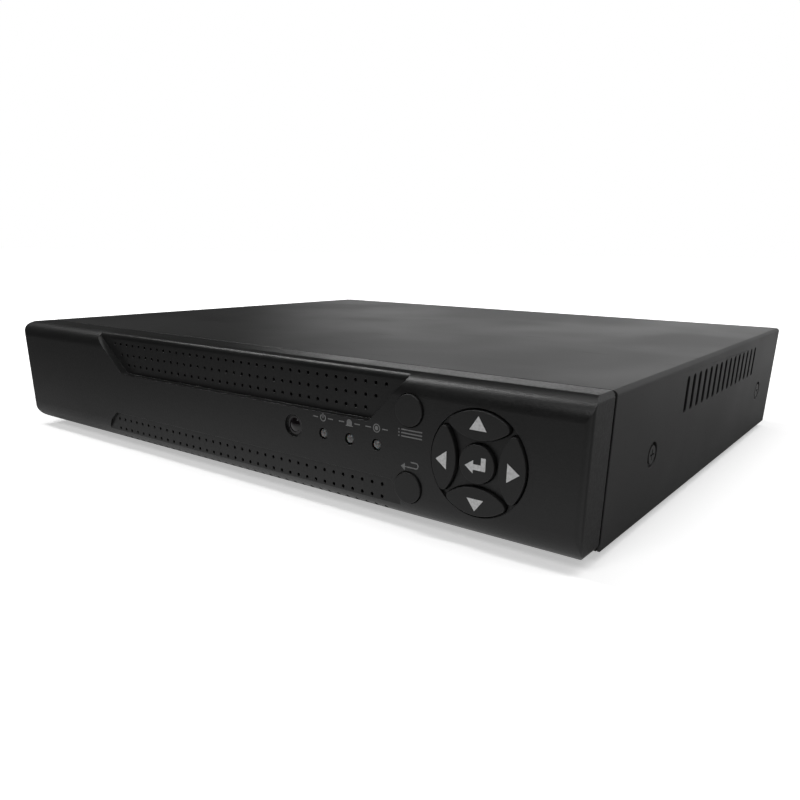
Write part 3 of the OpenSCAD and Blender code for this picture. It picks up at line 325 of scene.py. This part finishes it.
FINISHES = {
    # The bezel's edges are lighter still: partly wear, partly a painted highlight along its ledges.
    "bezel_plastic": lambda n: moulded(n, 0.0095, roughness=0.35, grain=0.8 * MM, depth=0.04 * MM,
                                       soft_edge=0.35 * MM, edge_wear_and_highlight_level=0.03),
    "smoked_plastic": smoked,
    "lamp_plastic": lamp,
    "key_plastic": lambda n: moulded(n, 0.0125, roughness=0.5, grain=0.35 * MM, depth=0.008 * MM),
    "switch_plastic": lambda n: moulded(n, 0.02),
    "switch_metal": lambda n: metal(n, 0.55),
    "circuit_board": circuit_board,
    "black_plastic": lambda n: moulded(n, 0.018, roughness=0.42, grain=0.3 * MM, depth=0.006 * MM,
                                       specular=0.45),
    "zinc_screw": lambda n: metal(n, 0.55, roughness=0.3),
    "black_screw": lambda n: painted(n, 0.018, roughness=0.34),
    "case_paint": lambda n: painted(n, 0.015),
    "foot_rubber": lambda n: rubber(n, 0.016),
    "brass": lambda n: metal(n, 0.62, tint=(1.0, 0.72, 0.32)),
    "sink_metal": lambda n: metal(n, 0.5, roughness=0.4, brushed=(0.05, 1, 1)),
    "capacitor_sleeve": lambda n: sleeve(n, 0.05, (0.5, 0.6, 1.0)),
    "cell_steel": lambda n: metal(n, 0.62, roughness=0.22),
    "header_plastic": lambda n: moulded(n, 0.55, roughness=0.45, tint=(1.0, 0.97, 0.9)),
    "socket_metal": lambda n: metal(n, 0.6, roughness=0.26, tint=(1.0, 0.97, 0.92)),
    "audio_plastic": lambda n: moulded(n, 0.02, roughness=0.36, specular=0.5),
    "port_blue": lambda n: moulded(n, 0.2, roughness=0.4, tint=(0.05, 0.2, 1.0)),
    "drive_metal": lambda n: metal(n, 0.5, roughness=0.42),
    "drive_lid_metal": lambda n: metal(n, 0.6, roughness=0.3, brushed=(0.04, 1, 1)),
    "cable_red": lambda n: sleeve(n, 0.4, (1.0, 0.05, 0.04)),
    "cable_black": lambda n: sleeve(n, 0.02, (1, 1, 1)),
    "cable_grey": lambda n: sleeve(n, 0.25, (1, 1, 1)),
}


# ---------------------------------------------------------------- CAD nodes

def shading_group():
    """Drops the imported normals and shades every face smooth: later modifiers set the shading."""
    group = bpy.data.node_groups.new("shading", "GeometryNodeTree")
    group.interface.new_socket("Geometry", in_out="INPUT", socket_type="NodeSocketGeometry")
    group.interface.new_socket("Geometry", in_out="OUTPUT", socket_type="NodeSocketGeometry")
    start = group.nodes.new("NodeGroupInput")
    drop = group.nodes.new("GeometryNodeRemoveAttribute")
    drop.inputs["Name"].default_value = "custom_normal"
    smooth = group.nodes.new("GeometryNodeSetShadeSmooth")
    end = group.nodes.new("NodeGroupOutput")
    group.links.new(start.outputs[0], drop.inputs["Geometry"])
    group.links.new(drop.outputs[0], smooth.inputs[0])
    group.links.new(smooth.outputs[0], end.inputs[0])
    return group


EDGE_MM = {"top_cover": 0.22, "rubber_feet": 0.4, "ir_window": 0.1}
BUTTON_EDGE_MM = 0.3


def round_edges(name, node, group):
    """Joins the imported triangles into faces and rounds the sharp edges, as tooling and paint do.

    Nodes with many holes and small parts keep their packed faces: their finish rounds the edges.
    """
    if name not in EDGE_MM and not name.endswith("_button"):
        return
    weld = node.modifiers.new("weld", "WELD")
    weld.merge_threshold = 1e-6
    shade = node.modifiers.new("shade", "NODES")
    shade.node_group = group
    flats = node.modifiers.new("flats", "DECIMATE")
    flats.decimate_type = "DISSOLVE"
    flats.angle_limit = math.radians(0.6)
    edge = node.modifiers.new("edge", "BEVEL")
    edge.limit_method = "ANGLE"
    edge.angle_limit = math.radians(35)
    edge.width = EDGE_MM.get(name, BUTTON_EDGE_MM) * MM
    edge.segments = 2
    edge.use_clamp_overlap = False
    edge.miter_outer = "MITER_ARC"
    weighted = node.modifiers.new("weighted", "WEIGHTED_NORMAL")
    weighted.weight = 50
    weighted.keep_sharp = False


def dress_nodes():
    group = shading_group()
    made = {}
    for name, node in sorted(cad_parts.items()):
        slot = node.material_slots[0].material.name.split(".")[0]
        if slot not in made:
            made[slot] = FINISHES[slot](slot + "_finish")
        for each in node.material_slots:
            each.material = made[slot]
        round_edges(name, node, group)


# ---------------------------------------------------------------- printed marks

INK = 0.03 * MM


def band(x, z, inner, outer, start, end, steps=24):
    """Outlines of part of a ring, from angle start to end in degrees."""
    if end - start > 180:
        middle = (start + end) / 2
        return band(x, z, inner, outer, start, middle) + band(x, z, inner, outer, middle, end)
    angles = [math.radians(start + (end - start) * i / steps) for i in range(steps + 1)]
    camera_glow = [(x + outer * math.cos(a), z + outer * math.sin(a)) for a in angles]
    near = [(x + inner * math.cos(a), z + inner * math.sin(a)) for a in reversed(angles)]
    return [camera_glow + near]


def disc(x, z, radius, steps=32):
    turn = 2 * math.pi / steps
    return [[(x + radius * math.cos(turn * i), z + radius * math.sin(turn * i)) for i in range(steps)]]


def bar(x0, z0, x1, z1):
    return [[(x0, z0), (x1, z0), (x1, z1), (x0, z1)]]


def mark(name, outlines_mm, origin, face_y, body, material):
    """Ink on a face that looks towards -Y. Outlines are in mm from origin, as (x, z)."""
    mesh = bmesh.new()
    for outline in outlines_mm:
        place = [(origin.x + x * MM, origin.z + z * MM) for x, z in outline]
        area = sum(a[0] * b[1] - b[0] * a[1] for a, b in zip(place, place[1:] + place[:1]))
        if area < 0:
            place.reverse()
        front = [mesh.verts.new((x, face_y - INK, z)) for x, z in place]
        back = [mesh.verts.new((x, face_y + INK, z)) for x, z in place]
        mesh.faces.new(front)
        mesh.faces.new(list(reversed(back)))
        for i in range(len(place)):
            j = (i + 1) % len(place)
            mesh.faces.new((front[j], front[i], back[i], back[j]))
    data = bpy.data.meshes.new(name)
    mesh.to_mesh(data)
    mesh.free()
    data.materials.append(material)
    piece = bpy.data.objects.new(name, data)
    scene.collection.objects.link(piece)
    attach(piece, body)


def middle(node):
    low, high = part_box(node)
    return (low + high) / 2


def key_marks():
    """An arrow on each petal of the pad, and a return arrow on the key in its middle."""
    ink = printed("key_ink", 0.68)
    pad = middle("enter_button")
    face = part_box("enter_button")[0].y
    half = 2.95
    up = [(-half, 10.4), (half, 10.4), (0, 14.8)]
    down = [(-half + 0.1, -10.95), (half + 0.1, -10.95), (0.1, -14.85)]
    left = [(-10.7, half - 0.65), (-10.7, -half - 0.65), (-14.65, -0.65)]
    right = [(10.4, half - 0.65), (10.4, -half - 0.65), (14.55, -0.65)]
    for key, outline in {"up": up, "down": down, "left": left, "right": right}.items():
        mark(key + "_arrow", [outline], pad, face, key + "_key", ink)
    back_arrow = [
        (-4.0, -0.75), (-1.1, -2.95), (-1.1, -1.75), (3.2, -1.75), (3.2, 2.3),
        (1.6, 2.3), (1.6, 0.0), (-1.1, 0.0), (-1.1, 1.2),
    ]
    mark("enter_arrow", [back_arrow], pad, face, "enter_key", ink)


def case_marks():
    """Plain signs in place of words: over each lamp, and beside the two round keys."""
    ink = printed("case_ink", 0.2)
    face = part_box("front_bezel")[0].y
    dashes = bar(-4.7, -0.2, -2.3, 0.2) + bar(2.3, -0.2, 4.7, 0.2)
    signs = {
        "power_led": band(0, 0, 0.95, 1.35, 125, 415) + bar(-0.2, -0.1, 0.2, 1.6),
        "alarm_led": (band(0, 0.1, 0.0, 1.15, 0, 180) + bar(-1.15, -0.9, 1.15, 0.1)
                      + bar(-1.6, -1.2, 1.6, -0.9)),
        "record_led": band(0, 0, 1.15, 1.5, 0, 360) + disc(0, 0, 0.75),
    }
    for node, sign in signs.items():
        spot = middle(node) + Vector((0, 0, 5.6 * MM))
        mark(node.replace("led", "sign"), sign + dashes, spot, face, "case", ink)
    menu = middle("menu_button") + Vector((0.5 * MM, 0, -7.6 * MM))
    lines = []
    for z in (-1.1, 0, 1.1):
        lines += bar(-3.6, z - 0.22, 4.6, z + 0.22) + disc(-4.5, z, 0.3, 12)
    mark("menu_sign", lines, menu, face, "case", ink)
    leave = middle("esc_button") + Vector((0.5 * MM, 0, 6.9 * MM))
    hook = [[(-3.6, 0), (-1.9, 1.25), (-1.9, -1.25)]] + bar(-1.9, -0.22, 2.4, 0.22)
    hook += band(2.4, 0.9, 0.68, 1.12, -90, 90) + bar(0.4, 1.58, 2.4, 2.02)
    mark("esc_sign", hook, leave, face, "case", ink)


# ---------------------------------------------------------------- stage

def make_floor():
    """A pale floor that glows softly for the camera: weaker near the object, which paints its shadow
    lighter, and stronger far off, so it runs into the white behind without a line.

    Reflections and bounced light see it as a grey floor with painted light and shade: lighter towards
    the back, darker to the left in front, and a glowing strip just in front of the bezel that lights
    its lower face.
    """
    mesh = bmesh.new()
    bmesh.ops.create_circle(mesh, cap_ends=True, radius=14, segments=96)
    data = bpy.data.meshes.new("floor")
    mesh.to_mesh(data)
    mesh.free()
    floor = bpy.data.objects.new("floor", data)
    scene.collection.objects.link(floor)
    material, g = new_material("floor_finish")
    seen = g.add("ShaderNodeLightPath").outputs["Is Camera Ray"]
    paper = g.add("ShaderNodeBsdfDiffuse")
    along = g.add("ShaderNodeSeparateXYZ")
    g.put(g.points(), along.inputs[0])
    across, forth = along.outputs["X"], along.outputs["Y"]
    # Colour seen only by reflections and bounced light: painted light and shade, lighter towards the
    # back and darker to the left in front.
    reflected = g.mix(g.span(forth, 0.12, 0.5), grey(0.3), grey(0.7))
    before = g.mix(g.span(across, -0.35, 0.05), grey(0.15), grey(0.45))
    lit = g.mix(g.span(forth, -0.12, -0.2), reflected, before)
    g.put(g.mix(seen, lit, grey(0.94)), paper.inputs["Color"])
    glow = g.add("ShaderNodeEmission")
    distance = g.add("ShaderNodeVectorMath", operation="LENGTH")
    g.put(g.points(), distance.inputs[0])
    # For the camera the floor glows weaker near the object: painted light that pales the shadow it
    # casts.
    camera_glow = g.span(distance.outputs["Value"], 0.15, 0.8, 0.45, 1.0)
    # A glowing strip just in front of the bezel, seen only by reflections and bounced light and weaker
    # to the left: painted light on the bezel's lower face.
    strip = g.math("MULTIPLY", g.span(forth, -0.27, -0.14), g.span(forth, -0.105, -0.125))
    strip = g.math("MULTIPLY", strip, g.span(across, -0.2, 0.05, 0.12, 0.5))
    near = g.math("MULTIPLY", g.math("SUBTRACT", 1.0, seen), strip)
    g.put(g.math("ADD", near, g.math("MULTIPLY", seen, camera_glow)), glow.inputs["Strength"])
    both = g.add("ShaderNodeAddShader")
    g.put(paper.outputs[0], both.inputs[0])
    g.put(glow.outputs[0], both.inputs[1])
    g.put(both.outputs[0], g.add("ShaderNodeOutputMaterial").inputs["Surface"])
    data.materials.append(material)


BACK_WALL_WAY = (-0.42, 0.907, 0)
BACK_WALL_LEVEL = 3.1
LIGHT_SIDE_WAY = (0.6, 0.8, 0)


def make_world():
    """White behind the object. It reflects a dim grey room with one bright wall at the back."""
    world = bpy.data.worlds.new("room")
    scene.world = world
    world.use_nodes = True
    g = Graph(world.node_tree)
    way = g.add("ShaderNodeTexCoord").outputs["Generated"]

    def facing(direction, low, high):
        dot = g.add("ShaderNodeVectorMath", operation="DOT_PRODUCT")
        g.put(way, dot.inputs[0])
        dot.inputs[1].default_value = Vector(direction).normalized()
        return g.span(dot.outputs["Value"], low, high)

    low = g.math("SUBTRACT", 1.0, facing((0, 0, 1), 0.05, 0.2))
    wall = g.math("MULTIPLY", facing(BACK_WALL_WAY, 0.9, 0.98), low)
    dim = g.mix(facing(LIGHT_SIDE_WAY, 0.4, 0.95), grey(0.03), grey(0.55))
    room = g.mix(wall, dim, grey(BACK_WALL_LEVEL))
    seen = g.add("ShaderNodeLightPath").outputs["Is Camera Ray"]
    sky = g.add("ShaderNodeBackground")
    g.put(g.mix(seen, room, grey(1.0)), sky.inputs["Color"])
    g.put(sky.outputs[0], g.add("ShaderNodeOutputWorld").inputs["Surface"])


# Place, aim, size and power of each softbox
SOFTBOXES = {
    "overhead": ((0.35, 0.25, 1.5), (0, 0, 0), (1.6, 1.6), 13),
    "front": ((0.0, -1.2, 1.1), (0, 0, 0.02), (0.45, 0.45), 5),
    "edge": ((-0.84, -0.27, 1.28), (0, -0.12, 0.05), (0.15, 0.85), 8),
}


def softbox(name, place, aim, size, power):
    data = bpy.data.lights.new(name, "AREA")
    data.shape = "RECTANGLE"
    data.size, data.size_y = size
    data.energy = power
    light = bpy.data.objects.new(name, data)
    light.location = place
    light.rotation_mode = "QUATERNION"
    light.rotation_quaternion = (Vector(aim) - Vector(place)).to_track_quat("-Z", "Y")
    light.visible_camera = False
    scene.collection.objects.link(light)


def make_lights():
    for name, settings in SOFTBOXES.items():
        softbox(name, *settings)


make_camera()
make_world()
make_floor()
make_lights()
dress_nodes()
key_marks()
case_marks()
